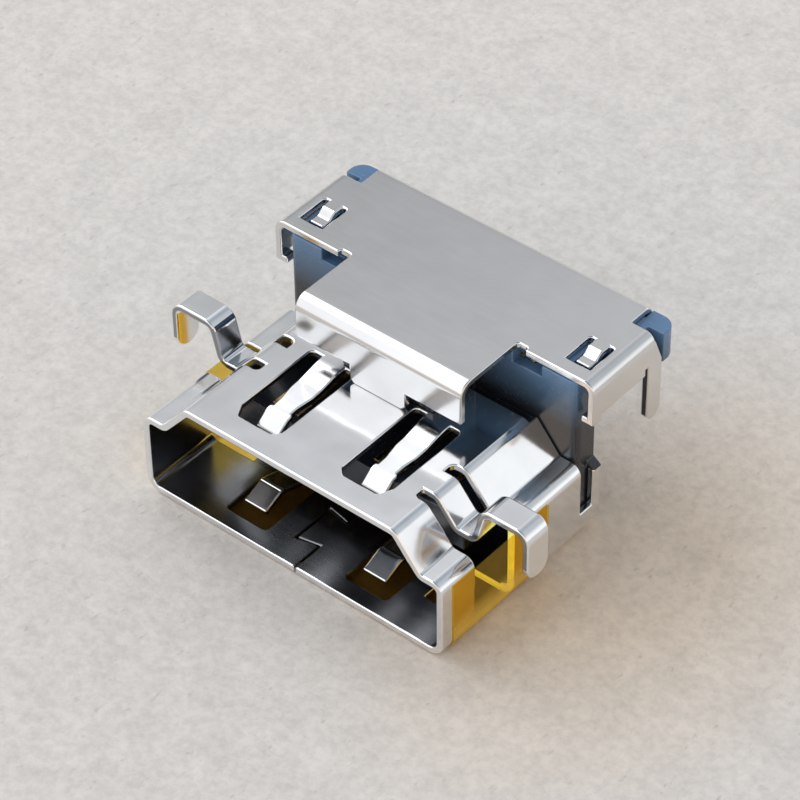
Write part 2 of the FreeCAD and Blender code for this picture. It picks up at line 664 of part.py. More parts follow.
def cover_reliefs(body):
    # small cuts that free the bends: one in each inner corner, one before each rear leg
    nose_side = "Sizes.cover_nose_width / 2"
    corner = draw(body, "relief_outline", "XY_Plane", [rectangle(
        nose_side, "Places.wing_front - Sizes.sheet",
        nose_side + " + Sizes.relief_width", "Places.wing_front + Sizes.relief_depth",
    )], "Sizes.cover_top")
    relief = cut(body, corner, "relief", "2 * Sizes.sheet")
    side = draw(body, "leg_notch_outline", "YZ_Plane", [rectangle(
        "Places.rear_leg_front - Sizes.leg_notch", "Sizes.cover_side_level - Sizes.sheet",
        "Places.rear_leg_front", "Sizes.cover_side_level + 2 * Sizes.leg_notch",
    )], "Places.wing_side")
    notch = cut(body, side, "leg_notch_cut", "2 * Sizes.sheet")
    return corner, relief, notch


def cover_latch(body):
    """Slit in the top and the bent tongue that it leaves."""
    plan = draw(body, "latch_outline", "XY_Plane", [rectangle(
        "Places.latch_inner - Sizes.latch_slit", "Places.latch_front",
        "Places.latch_outer + Sizes.latch_slit", "Places.latch_root",
    )], "Sizes.cover_top")
    opening = cut(body, plan, "latch_opening", "2 * Sizes.sheet")
    tip = "Places.latch_front + Sizes.latch_gap"
    fall_start = "Places.latch_root - Sizes.latch_flat"
    fall_end = "%s - Sizes.latch_fall" % fall_start
    dipped = "Sizes.cover_top - Sizes.latch_dip"
    # underside's corners stand back by this much at both bends
    back = "Sizes.sheet * tan(atan(Sizes.latch_dip / Sizes.latch_fall) / 2)"
    side = draw(body, "latch_side", "YZ_Plane", [[
        ("Places.latch_root + Sizes.sheet", "Sizes.cover_top"),
        (fall_start, "Sizes.cover_top"),
        (fall_end, dipped),
        (tip, dipped),
        (tip, dipped + " - Sizes.sheet"),
        ("%s + %s" % (fall_end, back), dipped + " - Sizes.sheet"),
        ("%s + %s" % (fall_start, back), COVER_INSIDE),
        ("Places.latch_root + Sizes.sheet", COVER_INSIDE),
    ]], "Places.latch_inner + Sizes.latch_width / 2")
    tongue = pad(body, side, "latch", "Sizes.latch_width", both=True)
    return plan, opening, tongue


def cover_leg(body):
    root = "Sizes.cover_side_level + Sizes.sheet"
    cut_off = "Sizes.leg_round / 2"
    side = draw(body, "rear_leg_side", "YZ_Plane", [[
        ("Places.rear_leg_front", root),
        ("Places.wall_rear", root),
        ("Places.wall_rear", "Sizes.rear_leg_level + " + cut_off),
        ("Places.wall_rear - " + cut_off, "Sizes.rear_leg_level"),
        ("Places.rear_leg_front + " + cut_off, "Sizes.rear_leg_level"),
        ("Places.rear_leg_front", "Sizes.rear_leg_level + " + cut_off),
    ]], "Places.wing_side")
    return pad(body, side, "rear_leg", SHEET, backwards=True)


def cover_hook(body):
    # the front end of each side wall turns in under the housing
    top = "Sizes.cover_side_level"
    outside = "Places.wing_side"
    inside = "Places.wing_side - Sizes.sheet"
    section = draw(body, "hook_section", "XZ_Plane", [[
        (outside, top),
        (outside, top + " - Sizes.sheet"),
        (inside + " - Sizes.hook_reach", top + " - Sizes.sheet"),
        (inside + " - Sizes.hook_reach", top + " - Sizes.fit"),
        (inside, top + " - Sizes.fit"),
        (inside, top),
    ]], "-1 * Places.wing_front")
    return pad(body, section, "hook", "Sizes.hook_length", backwards=True)


def cover_tab(body):
    half = "Sizes.apron_tab_width / 2"
    foot = CROWN_TOP + " + Sizes.fit"
    tab = draw(body, "tab_outline", "XZ_Plane", [both_sides([
        (half + " - Sizes.bend", foot),
        (half, foot + " + Sizes.bend"),
        (half, "Sizes.apron_level"),
    ])], "-1 * Sizes.cover_front")
    return pad(body, tab, "apron_tab", SHEET, backwards=True)


def make_rear_cover():
    body = new_body("rear_cover")
    cover_spine(body)
    cover_wings(body)
    cover_tab(body)
    corners = cover_corners(body)
    relief_plan, relief, notch = cover_reliefs(body)
    latch_plan, opening, tongue = cover_latch(body)
    leg = cover_leg(body)
    hook = cover_hook(body)
    last = mirror(body, "cover_pair", [corners, relief, notch, opening, tongue, leg, hook])
    last = bend(body, last, relief_plan, [2, 3], "Sizes.relief_depth / 2", mirrored=True)
    bend(body, last, latch_plan, [2, 3], "Sizes.latch_slit / 2", mirrored=True)
    return finish(body)


# Housing

def contact_path(run):
    """Side view of a contact: tongue run, riser, upper run, tail and solder foot."""
    thick = "Sizes.contact_thick"
    return [
        ("Places.contact_start", run),
        ("Places.contact_riser + " + thick, run),
        ("Places.contact_riser + " + thick, "Sizes.bridge_level"),
        ("Places.tail", "Sizes.bridge_level"),
        ("Places.tail", "Sizes.arm_level"),
        ("Places.tail_end", "Sizes.arm_level"),
        ("Places.tail_end", "Sizes.arm_level + " + thick),
        ("Places.tail + " + thick, "Sizes.arm_level + " + thick),
        ("Places.tail + " + thick, "Sizes.bridge_level + " + thick),
        ("Places.contact_riser", "Sizes.bridge_level + " + thick),
        ("Places.contact_riser", run + " + " + thick),
        ("Places.contact_start", run + " + " + thick),
    ]


def housing_blocks(body):
    # throat filling the shell's rear, column behind the shell, tongue and hump
    throat = draw(body, "throat_outline", "XZ_Plane", [mouth_corners("-1 * Sizes.fit")],
                  "-1 * Sizes.mouth_depth")
    filling = pad(body, throat, "throat", "Places.column_front - Sizes.mouth_depth", backwards=True)
    last = bend(body, filling, throat, [0, 7], "Sizes.floor_corner")
    last = bend(body, last, throat, [1, 3, 4, 6], "Sizes.bend")
    bend(body, last, throat, [2, 5], "Sizes.bend + Sizes.sheet")
    column = draw(body, "column_outline", "XY_Plane", [both_sides([
        ("Places.column_side", "Places.column_rear"),
        ("Places.column_side", "Places.column_front + Sizes.corner_round"),
        ("Places.column_side - %s * Sizes.corner_round" % QUARTER,
         "Places.column_front + %s * Sizes.corner_round" % QUARTER),
        ("Places.column_side - Sizes.corner_round", "Places.column_front"),
    ])], "Places.column_foot")
    pad(body, column, "column", "Places.roof - Places.column_foot")
    half = "Sizes.tongue_width / 2"
    top = "Sizes.tongue_level + Sizes.tongue_thick"
    tongue = draw(body, "tongue_outline", "XZ_Plane",
                  [rectangle("-1 * " + half, "Sizes.tongue_level", half, top)],
                  "-1 * Sizes.tongue_front")
    pad(body, tongue, "tongue", "Places.column_front - Sizes.tongue_front", backwards=True)
    above_crown = CROWN_TOP + " + Sizes.fit"
    behind_crown = "Sizes.crown_length + Sizes.fit"
    hump = draw(body, "hump_outline", "YZ_Plane", [[
        ("Places.hump_front", above_crown),
        (behind_crown, above_crown),
        (behind_crown, "Sizes.tongue_level"),
        ("Places.column_rear", "Sizes.tongue_level"),
        ("Places.column_rear", "Places.roof"),
        ("Places.hump_front", "Places.roof"),
    ]])
    pad(body, hump, "hump", "2 * Places.hump_side", both=True)


def rear_block(body):
    # block behind the column, widened at its rear corners where the cover is cut away
    inner = "Places.corner_side + Sizes.fit"
    step = "Places.wall_rear + Sizes.fit"
    plan = draw(body, "rear_block_plan", "XY_Plane", [both_sides([
        ("Places.column_side", "Places.column_front + Sizes.corner_round"),
        ("Places.column_side", step),
        ("Places.wing_side", step),
        ("Places.wing_side", "Places.rear"),
        (inner, "Places.rear"),
        (inner, "Places.rear_wall"),
    ])], "Sizes.wing_level")
    slab = pad(body, plan, "rear_block", "Places.roof - Sizes.wing_level")
    bend(body, slab, plan, [3, 8], "Sizes.rear_round")
    # room for the bend between the cover's top and its rear wall
    edge = draw(body, "roof_edge_outline", "YZ_Plane", [[
        ("Places.rear_wall - Sizes.bend", "Places.roof"),
        ("Places.rear_wall", "Places.roof - Sizes.bend"),
        ("Places.rear_wall + Sizes.bend", "Places.roof - Sizes.bend"),
        ("Places.rear_wall + Sizes.bend", "Places.roof + Sizes.bend"),
        ("Places.rear_wall - Sizes.bend", "Places.roof + Sizes.bend"),
    ]])
    cut(body, edge, "roof_edge", "2 * (%s)" % inner, both=True)


def housing_details(body):
    """Standing ribs, latch pockets, ledges beside the cover and barbs above the lugs."""
    stand = draw(body, "stand_plan", "XY_Plane", [rectangle(
        "Places.stand_inner", "Places.stand_start",
        "Places.stand_inner + Sizes.stand_width", "Places.stand_start + Sizes.stand_length",
    )], "Sizes.arm_level")
    rib = pad(body, stand, "standing_rib", "Sizes.wing_level - Sizes.arm_level + Sizes.fit")
    hollow = draw(body, "latch_pocket_plan", "XY_Plane", [rectangle(
        "Places.latch_inner - Sizes.latch_room", "Places.latch_front",
        "Places.latch_outer + Sizes.latch_room", "Places.latch_root",
    )], "Places.roof")
    dent = cut(body, hollow, "latch_pocket_cut", "Sizes.latch_pocket")
    shelf = draw(body, "ledge_plan", "XY_Plane", [rectangle(
        "Places.ledge_inner", "Places.column_front - Sizes.sheet",
        "Places.ledge_inner + Sizes.ledge_width", "Places.column_front + Sizes.ledge_depth",
    )], "Places.roof")
    ledge = cut(body, shelf, "ledge", "Sizes.ledge_fall")
    root = "Places.column_side - Sizes.sheet"
    low = "Sizes.lug_height + Sizes.fit"
    section = draw(body, "barb_section", "XZ_Plane", [[
        (root, low),
        ("Places.column_side + Sizes.barb_reach", low),
        ("Places.column_side", low + " + Sizes.barb_height"),
        (root, low + " + Sizes.barb_height"),
    ]], "-1 * Places.gap_rear")
    barb = pad(body, section, "barb", "Places.column_rear - Places.gap_rear", backwards=True)
    # the column's lower corners clear the bends between the shell's floor and sides
    inside = "Places.column_side - Sizes.floor_corner"
    outside = "Places.column_side + Sizes.sheet"
    corner = draw(body, "column_corner_outline", "XZ_Plane", [[
        (inside, "Places.column_foot"),
        (inside, "Places.column_foot - Sizes.sheet"),
        (outside, "Places.column_foot - Sizes.sheet"),
        (outside, "Places.column_foot + Sizes.floor_corner"),
        ("Places.column_side", "Places.column_foot + Sizes.floor_corner"),
    ]], "-1 * Places.column_front")
    foot = cut(body, corner, "column_corner", FAR)
    mirror(body, "housing_pair", [rib, dent, ledge, barb, foot])


def contact_grooves(body):
    for row in ("lower", "upper"):
        count = "Sizes.%s_count" % row
        first = "-1 * Sizes.contact_pitch * (%s - 1) / 2" % count
        path = draw(body, row + "_groove_path", "YZ_Plane",
                    [contact_path("(Places.%s_run)" % row)], first)
        groove = cut(body, path, row + "_groove",
                     "Sizes.contact_width + 2 * Sizes.contact_fit", both=True)
        pattern(body, row + "_grooves", [groove], "Sizes.contact_pitch", count)


def make_housing():
    body = new_body("housing")
    housing_blocks(body)
    rear_block(body)
    housing_details(body)
    contact_grooves(body)
    return finish(body)


# Contacts

def make_contact(label, run, place):
    body = new_body(label)
    path = draw(body, "path", "YZ_Plane", [contact_path(run)], place)
    strip = pad(body, path, "strip", "Sizes.contact_width", both=True)
    last = bend(body, strip, path, [4], "Sizes.contact_bend + Sizes.contact_thick")
    bend(body, last, path, [7], "Sizes.contact_bend")
    return finish(body)


def make_contacts():
    made = []
    for row, count in (("lower", int(sizes.lower_count)), ("upper", int(sizes.upper_count))):
        for k in range(count):
            place = "Sizes.contact_pitch * (%d - (Sizes.%s_count - 1) / 2)" % (k, row)
            label = "contact_%02d" % (len(made) + 1)
            made.append(make_contact(label, "(Places.%s_run)" % row, place))
    return made


# Tape

def make_tape():
    body = new_body("tape")
    outer_side = "(%s + Sizes.sheet + Sizes.tape_thick)" % HALF
    inner_side = "(%s + Sizes.sheet)" % HALF
    section = both_sides([
        (outer_side, "-1 * Sizes.tape_thick"),
        (outer_side, "Sizes.tape_level"),
        (inner_side, "Sizes.tape_level"),
        (inner_side, "0"),
    ])
    wrap = draw(body, "wrap_section", "XZ_Plane", [section], "-1 * Sizes.tape_front")
    strip = pad(body, wrap, "wrap", "Sizes.tape_rear - Sizes.tape_front", backwards=True)
    last = bend(body, strip, wrap, [3, 4], "Sizes.floor_corner + Sizes.sheet")
    bend(body, last, wrap, [0, 7], "Sizes.floor_corner + Sizes.sheet + Sizes.tape_thick")
    return finish(body)


def sound(item):
    return "Invalid" not in item.State and "Error" not in item.State


pieces = [make_front_shell(), make_rear_cover(), make_housing()]
pieces.extend(make_contacts())
pieces.append(make_tape())
doc.recompute()

for item in doc.Objects:
    if not sound(item):
        raise RuntimeError("%s did not compute" % item.Name)
for piece in pieces:
    shape = piece.Shape
    if shape.isNull() or not shape.isValid():
        raise RuntimeError("%s has no sound shape" % piece.Label)

for piece in pieces:
    piece.Shape.exportStep("parts/%s.step" % piece.Label)
    box = piece.Shape.BoundBox
    print("%-14s %8.3f mm3  %7.3f %7.3f %7.3f  to %7.3f %7.3f %7.3f" % (
        piece.Label, piece.Shape.Volume, box.XMin, box.YMin, box.ZMin,
        box.XMax, box.YMax, box.ZMax))
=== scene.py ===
import math

import bmesh
import bpy
from mathutils import Matrix, Vector


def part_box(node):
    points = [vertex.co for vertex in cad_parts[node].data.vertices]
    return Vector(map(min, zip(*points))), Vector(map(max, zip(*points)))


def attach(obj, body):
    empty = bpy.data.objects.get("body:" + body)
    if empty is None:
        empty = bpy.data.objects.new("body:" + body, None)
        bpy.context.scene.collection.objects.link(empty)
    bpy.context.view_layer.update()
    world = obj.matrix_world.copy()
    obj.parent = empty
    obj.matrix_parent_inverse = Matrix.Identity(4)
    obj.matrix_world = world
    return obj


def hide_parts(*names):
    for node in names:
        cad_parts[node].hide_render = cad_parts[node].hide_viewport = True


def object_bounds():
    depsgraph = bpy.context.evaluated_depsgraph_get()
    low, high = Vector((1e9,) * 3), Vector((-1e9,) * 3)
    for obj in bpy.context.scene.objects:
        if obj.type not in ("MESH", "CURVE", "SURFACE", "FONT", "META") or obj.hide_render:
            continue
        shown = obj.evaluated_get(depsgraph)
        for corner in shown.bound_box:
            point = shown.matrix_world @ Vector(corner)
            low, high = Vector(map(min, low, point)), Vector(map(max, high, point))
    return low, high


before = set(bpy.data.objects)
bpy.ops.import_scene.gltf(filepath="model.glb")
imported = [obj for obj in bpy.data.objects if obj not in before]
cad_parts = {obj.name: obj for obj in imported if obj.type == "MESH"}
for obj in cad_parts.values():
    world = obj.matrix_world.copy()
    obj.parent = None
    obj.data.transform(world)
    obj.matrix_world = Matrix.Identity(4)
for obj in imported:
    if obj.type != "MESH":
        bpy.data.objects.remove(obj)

bl_info = {
    "name": "Video socket looks",
    "version": (1, 0, 0),
    "blender": (4, 5, 0),
    "location": "View3D > Sidebar > Socket",
    "description": "Plated sheet, glossy moulding and amber film for a board-mounted video socket",
    "category": "Object",
}

CAD_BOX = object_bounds()
MM = 0.001
CONTACTS = sorted(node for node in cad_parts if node.startswith("contact_"))

# The mouth, in millimetres: its middle level, half its width with the sheet, its bright lip and
# the level above which upward faces belong to the floor's fingers; inside these bounds the sheet
# gets painted shade.
MOUTH_MIDDLE = 2.6
MOUTH_HALF = 7.15
LIP = 0.25
FINGER_LEVEL = 0.4
# Share of a normal along an axis from which a face counts as facing that way.
TURNED = 0.3
SQUARE_ON = 0.5

# Rear edges of the left and the right side opening, where the cut edge under the tape gets a
# painted yellow glow, in millimetres, and the glow's reach: inward along the floor, up the wall,
# and to both sides of the cut edge.
OPENING_REARS = (5.6, 4.1)
EDGE_GLOW_INNER = 4.8
EDGE_GLOW_TOP = 3.35
EDGE_GLOW_WIDTH = 0.16
EDGE_GLOW_FRONT = 0.06
# Strength of the painted glow on those cut edges; they are no lamp.
EDGE_GLOW_STRENGTH = 0.45

# Levels between which a painted blue reflection of the sky fades in on the black plastic.
PAINTED_SHEEN_BAND = (5.2 * MM, 7.5 * MM)

# The amber film. Light that one face lets through, on the sides and on the underside, where the
# darker tint is painted shade.
FILM_TINT = (0.96, 0.82, 0.36)
FILM_BELOW_PAINTED_SHADE = (0.42, 0.31, 0.16)
# Fold between the underside and the sides, and the levels between which the haze thins out.
FILM_FOLD = (0, 0.15 * MM)
FILM_THINNING = (0.8 * MM, 1.7 * MM)
# Haze low on the sides and on the underside, as shares of the film's own.
FILM_LOW_HAZE = 4
FILM_UNDER_HAZE = 0.1
# The underside's left end, which the light through the left side opening reaches; extra haze and a
# painted glow stand in for that light.
FILM_LIT_EDGE = (-4.9 * MM, -4.3 * MM)
FILM_LIT_HAZE = 0.8
FILM_PAINTED_GLOW = 0.5

# Middle and reach of the painted warm shadow on the floor beside the socket, and the share of that
# reach over which it sets in.
PAINTED_SHADOW_MIDDLE = (10 * MM, 8 * MM, 0)
PAINTED_SHADOW_REACH = (10.5 * MM, 15.5 * MM, 1)
PAINTED_SHADOW_RAMP = 0.75

# Colours of the room round the socket.
WALLS = (1.45, 1.2, 0.98)
CEILING = (0.25, 0.33, 0.43)
REAR_LOW = (1.2, 1.22, 1.25)
REAR_HIGH = (0.62, 0.66, 0.7)
WINDOW = (0.98, 1.0, 1.04)
# The window's brightness toward the front and the rear, and how it grows from left to right.
WINDOW_LEVELS = (1.3, 0.5)
WINDOW_GROWTH = (0.85, 1.5)
# Where the room's parts blend, as shares of a direction across, along and up.
WALL_BAND = (0.3, 0.8)
CORNER_BAND = (0.3, 0.6)
REAR_START = (0.0, 0.4)
REAR_TOP = (0.76, 0.9)
WINDOW_DIMMING = (0.38, 0.58)
WINDOW_RISE = (-0.54, -0.4)
WINDOW_SIDE = (-0.35, 0.0)
WINDOW_SILL = (0.0, 0.1)
WINDOW_HEAD = (0.78, 0.92)

# The lamp behind the window: its direction, distance and size in metres, and power in watts.
LAMP_DIRECTION = (-0.72, 0.05, 0.69)
LAMP_DISTANCE = 0.6
LAMP_SIZE = 0.5
LAMP_POWER = 1.3

FLOOR_HALF = 1.5
SENSOR_WIDTH = 36

# Corners closer than this are one corner, in millimetres, and faces are one face whose planes
# differ by less than this angle.
CLOSE = 0.004
CUT_CLOSE = 0.001
FLATNESS = math.radians(0.5)
# Weights that turn a spot into one number, by which a mesh's corners and faces are put in order.
ORDER = Vector((1e6, 1e3, 1))


class SheetSettings(bpy.types.PropertyGroup):
    """Plated sheet of the shell and the cover."""
    shell_colour: bpy.props.FloatVectorProperty(
        name="Shell colour", description="Bright nickel of the front shell",
        subtype="COLOR", size=3, min=0, max=1, default=(0.87, 0.875, 0.88))
    cover_colour: bpy.props.FloatVectorProperty(
        name="Cover colour", description="Satin nickel of the rear cover",
        subtype="COLOR", size=3, min=0, max=1, default=(0.76, 0.755, 0.75))
    shell_roughness: bpy.props.FloatProperty(
        name="Shell roughness", description="Roughness of the bright plating",
        min=0, max=1, default=0.12)
    cover_roughness: bpy.props.FloatProperty(
        name="Cover roughness", description="Roughness of the satin plating",
        min=0, max=1, default=0.16)
    # The inside colour is a darker copy of the plating: painted shade in the mouth.
    inside_shade_colour: bpy.props.FloatVectorProperty(
        name="Inside shade colour", description="Nickel darkened by painted shade inside the mouth",
        subtype="COLOR", size=3, min=0, max=1, default=(0.3, 0.31, 0.33))
    inside_roughness: bpy.props.FloatProperty(
        name="Inside roughness", description="Roughness of the plating inside the mouth",
        min=0, max=1, default=0.2)
    # Colour of the painted yellow glow on the cut edges under the tape.
    edge_glow_colour: bpy.props.FloatVectorProperty(
        name="Edge glow colour", description="Painted yellow glow on the cut edges under the tape",
        subtype="COLOR", size=3, min=0, max=1, default=(1.0, 0.98, 0.3))
    edge: bpy.props.FloatProperty(
        name="Edge", description="Rounding left by the punch on a cut edge",
        unit="LENGTH", default=0.07 * MM)


class MouldingSettings(bpy.types.PropertyGroup):
    """Glossy black plastic of the housing."""
    colour: bpy.props.FloatVectorProperty(
        name="Colour", description="Blue-black plastic",
        subtype="COLOR", size=3, min=0, max=1, default=(0.018, 0.022, 0.03))
    # The top colour is a painted reflection of the blue sky on the black plastic.
    top_sheen_colour: bpy.props.FloatVectorProperty(
        name="Top sheen colour", description="Painted blue reflection of the sky at the top",
        subtype="COLOR", size=3, min=0, max=1, default=(0.11, 0.22, 0.38))
    roughness: bpy.props.FloatProperty(
        name="Roughness", description="Roughness of the moulded skin",
        min=0, max=1, default=0.22)
    edge: bpy.props.FloatProperty(
        name="Edge", description="Rounding of the moulding's edges",
        unit="LENGTH", default=0.05 * MM)


class ContactSettings(bpy.types.PropertyGroup):
    """Gold-plated contact strips."""
    colour: bpy.props.FloatVectorProperty(
        name="Colour", description="Thin gold plating",
        subtype="COLOR", size=3, min=0, max=1, default=(0.83, 0.62, 0.3))
    edge: bpy.props.FloatProperty(
        name="Edge", description="Rounding of a strip's edges",
        unit="LENGTH", default=0.02 * MM)


class FilmSettings(bpy.types.PropertyGroup):
    """Amber film wrapped round the shell."""
    colour: bpy.props.FloatVectorProperty(
        name="Colour", description="Amber of the film",
        subtype="COLOR", size=3, min=0, max=1, default=(0.93, 0.68, 0.14))
    haze: bpy.props.FloatProperty(
        name="Haze", description="Share of the light that the film scatters or reflects",
        min=0, max=1, default=0.11)
    thickness: bpy.props.FloatProperty(
        name="Thickness", description="Thickness of the film without its glue",
        unit="LENGTH", default=0.045 * MM)


class StageSettings(bpy.types.PropertyGroup):
    """Floor, lamps and camera."""
    floor_colour: bpy.props.FloatVectorProperty(
        name="Floor colour", description="Pale warm floor",
        subtype="COLOR", size=3, min=0, max=1, default=(0.8, 0.76, 0.71))
    # The floor shade tints the painted warm shadow beside the socket.
    floor_shade: bpy.props.FloatVectorProperty(
        name="Floor shade", description="Tint of the painted warm shadow beside the socket",
        subtype="COLOR", size=3, min=0, max=1, default=(1.0, 0.9, 0.78))
    world_strength: bpy.props.FloatProperty(
        name="Surround", description="Strength of the pale surround", default=0.9)
    azimuth: bpy.props.FloatProperty(
        name="Azimuth", description="Camera's turn to the right of the mouth",
        unit="ROTATION", default=math.radians(40.46))
    elevation: bpy.props.FloatProperty(
        name="Elevation", description="Camera's height above the horizon",
        unit="ROTATION", default=math.radians(41.93))
    roll: bpy.props.FloatProperty(
        name="Roll", description="Camera's turn about its own axis",
        unit="ROTATION", default=math.radians(-0.86))
    distance: bpy.props.FloatProperty(
        name="Distance", description="Camera's distance from the aim point",
        unit="LENGTH", default=131.83 * MM)
    aim: bpy.props.FloatVectorProperty(
        name="Aim", description="Point that the camera's distance is measured from",
        subtype="TRANSLATION", size=3, default=(0, 5 * MM, 3 * MM))
    slide: bpy.props.FloatVectorProperty(
        name="Slide", description="Camera's shift to its right and up",
        unit="LENGTH", size=2, default=(0.891 * MM, 1.545 * MM))
    lens: bpy.props.FloatProperty(
        name="Lens", description="Focal length on a 36 mm sensor, in millimetres", default=158.0)


# Shader helpers

def start_material(name):
    material = bpy.data.materials.new(name)
    material.use_nodes = True
    tree = material.node_tree
    shader = tree.nodes["Principled BSDF"]
    return material, tree, shader


def object_place(tree, stretch=(1, 1, 1)):
    coordinates = tree.nodes.new("ShaderNodeTexCoord")
    mapping = tree.nodes.new("ShaderNodeMapping")
    mapping.inputs["Scale"].default_value = stretch
    tree.links.new(coordinates.outputs["Object"], mapping.inputs["Vector"])
    return mapping.outputs["Vector"]


def noise(tree, grain, detail=3.0, stretch=(1, 1, 1), rough=0.55):
    """Noise whose grain is about this long, in metres."""
    texture = tree.nodes.new("ShaderNodeTexNoise")
    texture.inputs["Scale"].default_value = 1 / grain
    texture.inputs["Detail"].default_value = detail
    texture.inputs["Roughness"].default_value = rough
    tree.links.new(object_place(tree, stretch), texture.inputs["Vector"])
    return texture.outputs["Fac"]


def spread(tree, value, low, high, from_low=0.3, from_high=0.7):
    """Maps a value, as a rule the middle of a noise, onto a range of numbers."""
    node = tree.nodes.new("ShaderNodeMapRange")
    node.inputs["From Min"].default_value = from_low
    node.inputs["From Max"].default_value = from_high
    node.inputs["To Min"].default_value = low
    node.inputs["To Max"].default_value = high
    tree.links.new(value, node.inputs["Value"])
    return node.outputs["Result"]


def blend_colours(tree, factor, first, second):
    node = tree.nodes.new("ShaderNodeMix")
    node.data_type = "RGBA"
    node.inputs["A"].default_value = (*first, 1)
    node.inputs["B"].default_value = (*second, 1)
    tree.links.new(factor, node.inputs["Factor"])
    return node.outputs["Result"]


def mixed(tree, factor, first, second):
    """Mixes two linked colours."""
    node = tree.nodes.new("ShaderNodeMix")
    node.data_type = "RGBA"
    tree.links.new(factor, node.inputs["Factor"])
    tree.links.new(first, node.inputs["A"])
    tree.links.new(second, node.inputs["B"])
    return node.outputs["Result"]


def multiply(tree, first, second):
    node = tree.nodes.new("ShaderNodeMath")
    node.operation = "MULTIPLY"
    tree.links.new(first, node.inputs[0])
    tree.links.new(second, node.inputs[1])
    return node.outputs[0]


def scaled_value(tree, value, share):
    node = tree.nodes.new("ShaderNodeMath")
    node.operation = "MULTIPLY"
    tree.links.new(value, node.inputs[0])
    node.inputs[1].default_value = share
    return node.outputs[0]


def scaled_link(tree, colour, share):
    node = tree.nodes.new("ShaderNodeVectorMath")
    node.operation = "SCALE"
    tree.links.new(colour, node.inputs[0])
    node.inputs["Scale"].default_value = share
    return node.outputs["Vector"]


def bump(tree, height, depth, below=None):
    node = tree.nodes.new("ShaderNodeBump")
    node.inputs["Strength"].default_value = 1.0
    node.inputs["Distance"].default_value = depth
    tree.links.new(height, node.inputs["Height"])
    if below is not None:
        tree.links.new(below, node.inputs["Normal"])
    return node.outputs["Normal"]


def scaled(colour, share):
    return tuple(min(1, channel * share) for channel in colour)


def plated_sheet(name, colour, roughness, cloud, wave=0.004 * MM):
    """Nickel on rolled steel: clouds in the plating, faint rolling lines and soft waves."""
    material, tree, shader = start_material(name)
    shader.inputs["Metallic"].default_value = 1.0
    clouds = spread(tree, noise(tree, 1.8 * MM, detail=4), 0, 1)
    base = blend_colours(tree, clouds, scaled(colour, 1 - cloud), scaled(colour, 1 + cloud))
    tree.links.new(base, shader.inputs["Base Color"])
    lines = noise(tree, 0.12 * MM, detail=4, stretch=(0.08, 1, 1))
    rough = spread(tree, lines, roughness * 0.9, roughness * 1.15)
    tree.links.new(rough, shader.inputs["Roughness"])
    waves = bump(tree, noise(tree, 2 * MM, detail=1), wave)
    normal = bump(tree, lines, 0.0003 * MM, waves)
    tree.links.new(normal, shader.inputs["Normal"])
    return material


def moulded_plastic(name, colour, top_sheen_colour, roughness):
    """Glossy black plastic with a painted blue reflection of the sky toward its top."""
    material, tree, shader = start_material(name)
    parts = tree.nodes.new("ShaderNodeSeparateXYZ")
    tree.links.new(object_place(tree), parts.inputs["Vector"])
    # Painted sky reflection: bluer with height.
    sheen = spread(tree, parts.outputs["Z"], 0, 1, *PAINTED_SHEEN_BAND)
    base = blend_colours(tree, sheen, colour, top_sheen_colour)
    tree.links.new(base, shader.inputs["Base Color"])
    rough = spread(tree, noise(tree, 0.25 * MM), roughness * 0.8, roughness * 1.3)
    tree.links.new(rough, shader.inputs["Roughness"])
    shader.inputs["Specular IOR Level"].default_value = 0.65
    normal = bump(tree, noise(tree, 0.7 * MM, detail=1), 0.003 * MM)
    tree.links.new(normal, shader.inputs["Normal"])
    return material


def gold_plating(name, colour):
    material, tree, shader = start_material(name)
    shader.inputs["Metallic"].default_value = 1.0
    clouds = noise(tree, 0.6 * MM)
    base = blend_colours(tree, spread(tree, clouds, 0, 1), scaled(colour, 0.85), colour)
    tree.links.new(base, shader.inputs["Base Color"])
    rough = spread(tree, noise(tree, 0.1 * MM, stretch=(1, 0.1, 1)), 0.18, 0.34)
    tree.links.new(rough, shader.inputs["Roughness"])
    return material


